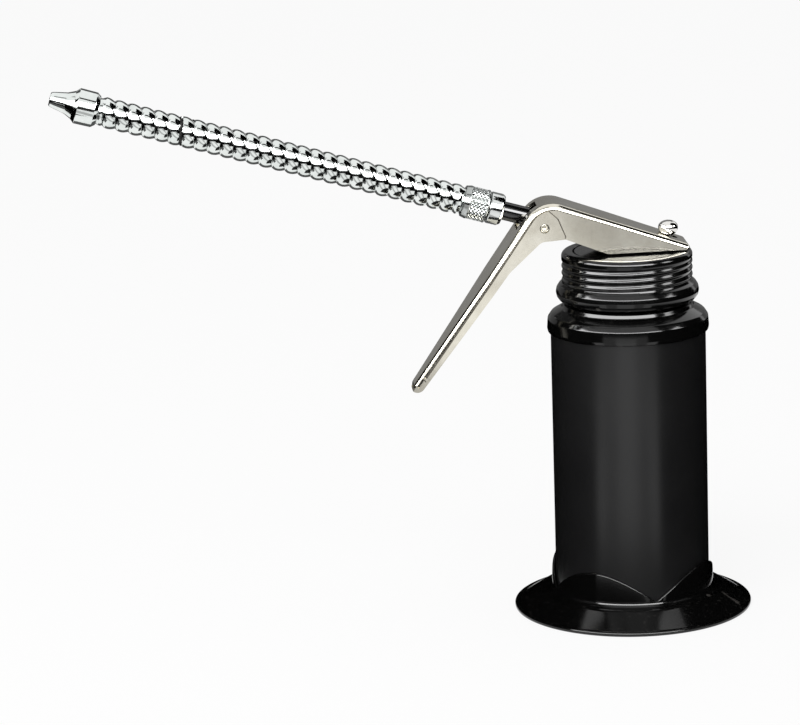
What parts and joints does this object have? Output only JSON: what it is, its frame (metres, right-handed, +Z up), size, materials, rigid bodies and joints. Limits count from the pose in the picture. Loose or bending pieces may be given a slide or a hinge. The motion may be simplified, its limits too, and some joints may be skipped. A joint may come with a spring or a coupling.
{
  "type": "pump oil can",
  "caption": "Black pump oil can on a wide round foot, with a squeeze lever, screw cap and a straight flexible metal spout ending in a slim nozzle.",
  "frame": {"origin": "centre of the flat underside of the foot, on the can's axis", "axes": "+Z up along the can's axis, -X along the direction in which the spout and the trigger point, +Y across"},
  "size_m": [0.2362, 0.0826, 0.1899],
  "materials": {
    "gloss_black": "gloss",
    "cast_black": "semi-gloss",
    "nickel": "bright nickel plate",
    "zinc": "bright zinc plate",
    "bright_steel": "polished",
    "steel": "bare",
    "brass": "turned",
    "rubber": "matte"
  },
  "bodies": {
    "can": {"base_pan": "gloss_black", "can_body": "gloss_black", "can_bottom": "gloss_black", "can_top": "gloss_black", "cap_gasket": "rubber"},
    "head": {"pump_head": "cast_black", "pivot_pin_near": "nickel", "pivot_pin_far": "nickel", "pump_cylinder": "brass", "rod_bush": "brass", "rod_seal": "rubber", "gland_washer": "steel", "return_spring": "steel", "foot_valve_body": "brass", "dip_tube": "steel", "outlet_tube": "cast_black", "spout_collar": "zinc", "hose_ferrule": "zinc", "hose": "bright_steel", "nozzle": "bright_steel"},
    "cap": {"screw_cap": "gloss_black"},
    "lever": {"lever": "nickel"},
    "rod": {"pump_rod": "steel", "rod_nut": "nickel", "piston": "brass", "piston_cup": "rubber", "piston_nut": "brass"},
    "ball": {"foot_valve_ball": "bright_steel"}
  },
  "joints": [
    {"name": "cap_turn", "type": "hinge", "parent": "head", "child": "cap", "pos_m": [0, 0, 0.12], "axis": [0, 0, 1], "range_deg": [0, 810]},
    {"name": "head_lift", "type": "slide", "parent": "can", "child": "head", "axis": [0, 0, 1], "range_m": [0, 0.0054]},
    {"name": "lever_squeeze", "type": "hinge", "parent": "head", "child": "lever", "pos_m": [-0.029, 0, 0.1367], "axis": [0, -1, 0], "range_deg": [0, 15], "stiffness_Nm_per_rad": 0.57, "springref_deg": -26.3},
    {"name": "rod_lift", "type": "slide", "parent": "head", "child": "rod", "axis": [0, 0, 1], "range_m": [0, 0.0114], "deforming": ["return_spring"]},
    {"name": "foot_ball_lift", "type": "slide", "parent": "head", "child": "ball", "axis": [0, 0, 1], "range_m": [0, 0.0015]}
  ],
  "couplings": [
    {"joint": "cap_turn", "follows": "head_lift", "rad_per_m": 2618},
    {"joint": "rod_lift", "follows": "lever_squeeze", "m_per_rad": 0.04305}
  ]
}
